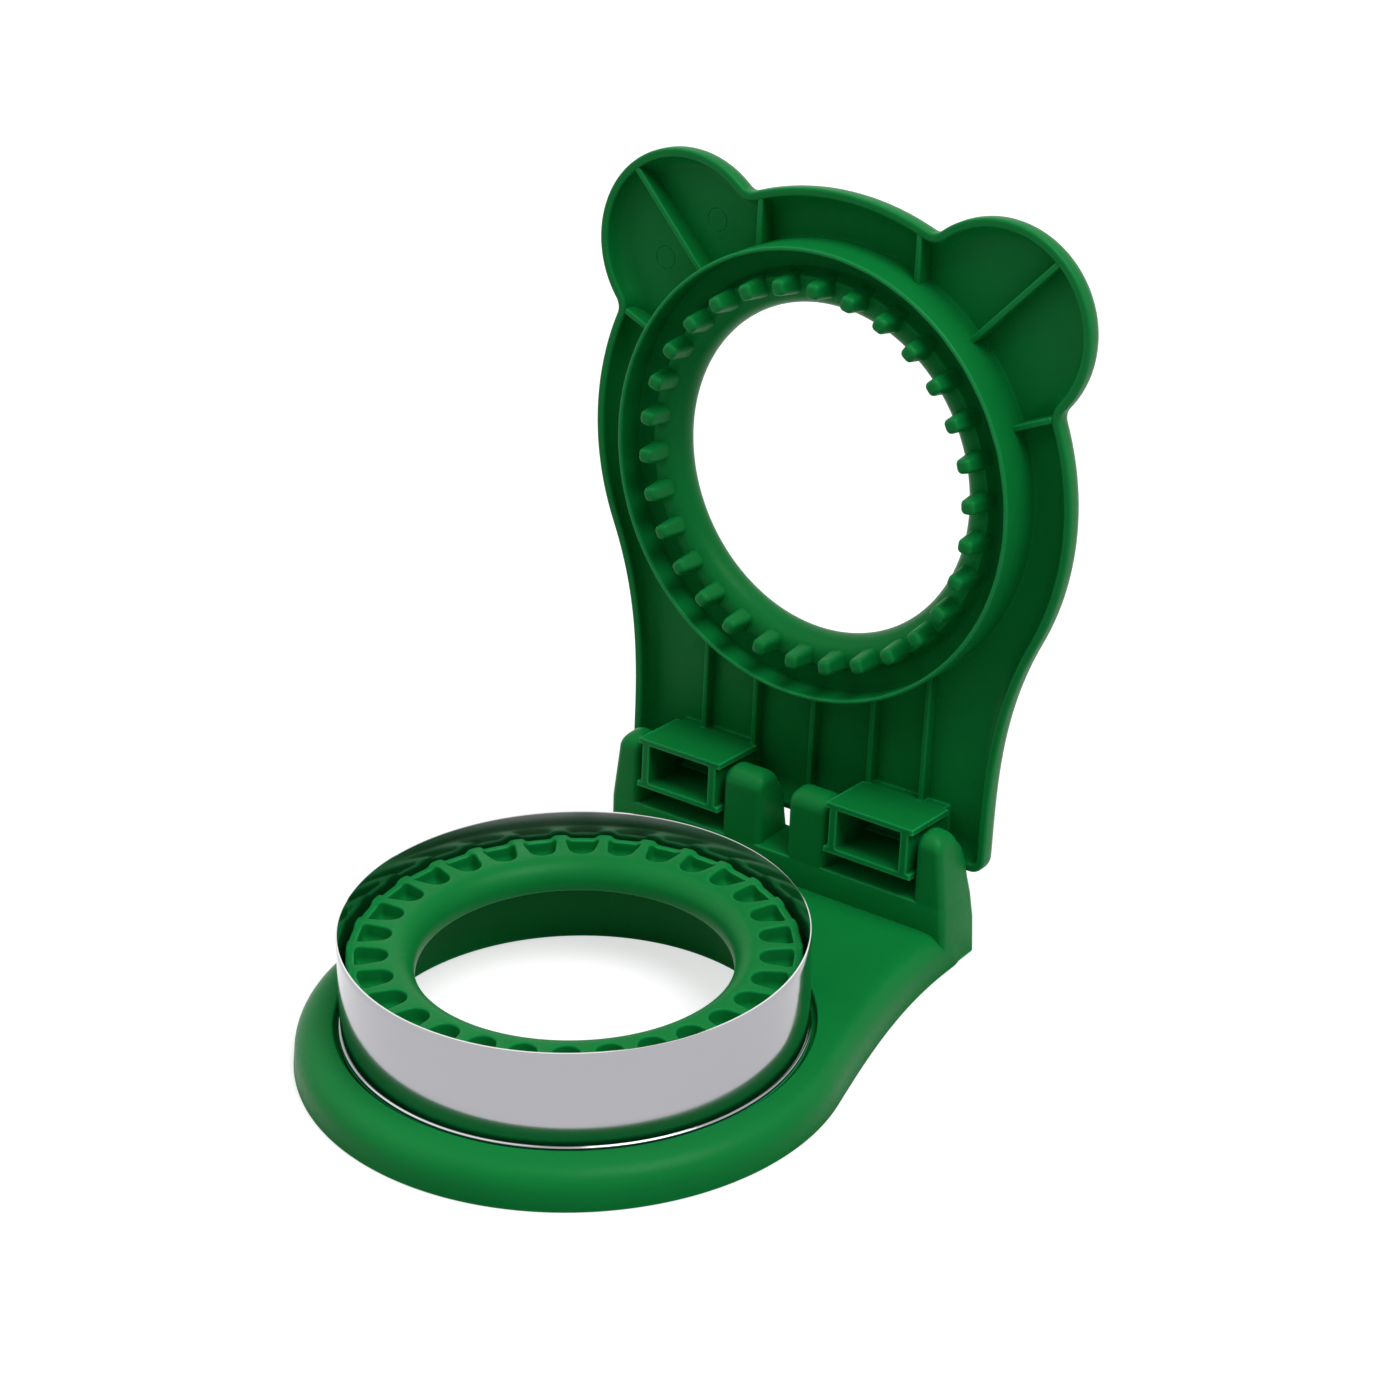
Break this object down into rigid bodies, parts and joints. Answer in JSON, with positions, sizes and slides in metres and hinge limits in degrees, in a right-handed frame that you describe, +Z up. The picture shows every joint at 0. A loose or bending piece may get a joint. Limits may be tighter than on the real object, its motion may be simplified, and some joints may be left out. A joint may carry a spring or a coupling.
{
  "type": "sandwich cutter and sealer",
  "caption": "Round steel sandwich cutter on a green base with a notched press ring, under a hinged bear-eared lid whose toothed ring seals the bread.",
  "frame": {"origin": "middle of the bottom of the bounding box with the lid open, on the table plane", "axes": "+X along the hinge axis, the object's symmetry plane being X = 0; +Y from the round cutter towards the hinge; +Z up from the table"},
  "size_m": [0.1144, 0.145, 0.1512],
  "materials": {
    "green_plastic": "satin moulded",
    "steel": "mirror polished"
  },
  "bodies": {
    "base": {"base_body": "green_plastic", "press_ring": "green_plastic", "cutter_ring": "steel"},
    "lid": {"lid": "green_plastic"}
  },
  "joints": [
    {"name": "lid_hinge", "type": "hinge", "parent": "base", "child": "lid", "pos_m": [0, 0.05265, 0.0228], "axis": [1, 0, 0], "range_deg": [0, 94]}
  ]
}
